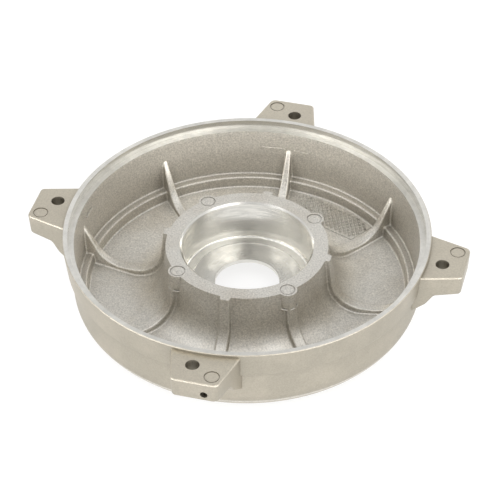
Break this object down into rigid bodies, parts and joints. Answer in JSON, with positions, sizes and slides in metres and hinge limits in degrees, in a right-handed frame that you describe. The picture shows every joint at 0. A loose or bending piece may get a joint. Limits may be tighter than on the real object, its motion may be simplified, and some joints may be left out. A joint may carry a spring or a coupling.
{
  "type": "motor end shield",
  "caption": "Cast aluminium motor end shield: an open cup with ribs, a central bearing seat, a machined rim register and bolt lugs.",
  "frame": {"origin": "on the shaft axis, in the plane of the flat foot ring that the casting stands on", "axes": "+Z along the shaft axis and out of the open cup; the bolt lugs point along +X, +Y, -X and -Y; the lug with the small side hole is on -Y"},
  "size_m": [0.243, 0.243, 0.0495],
  "materials": {
    "cast_aluminium": "as-cast satin grain, with turned bright rim, ledge and bearing seat"
  },
  "bodies": {
    "root": {"end_shield_casting": "cast_aluminium"}
  },
  "joints": []
}
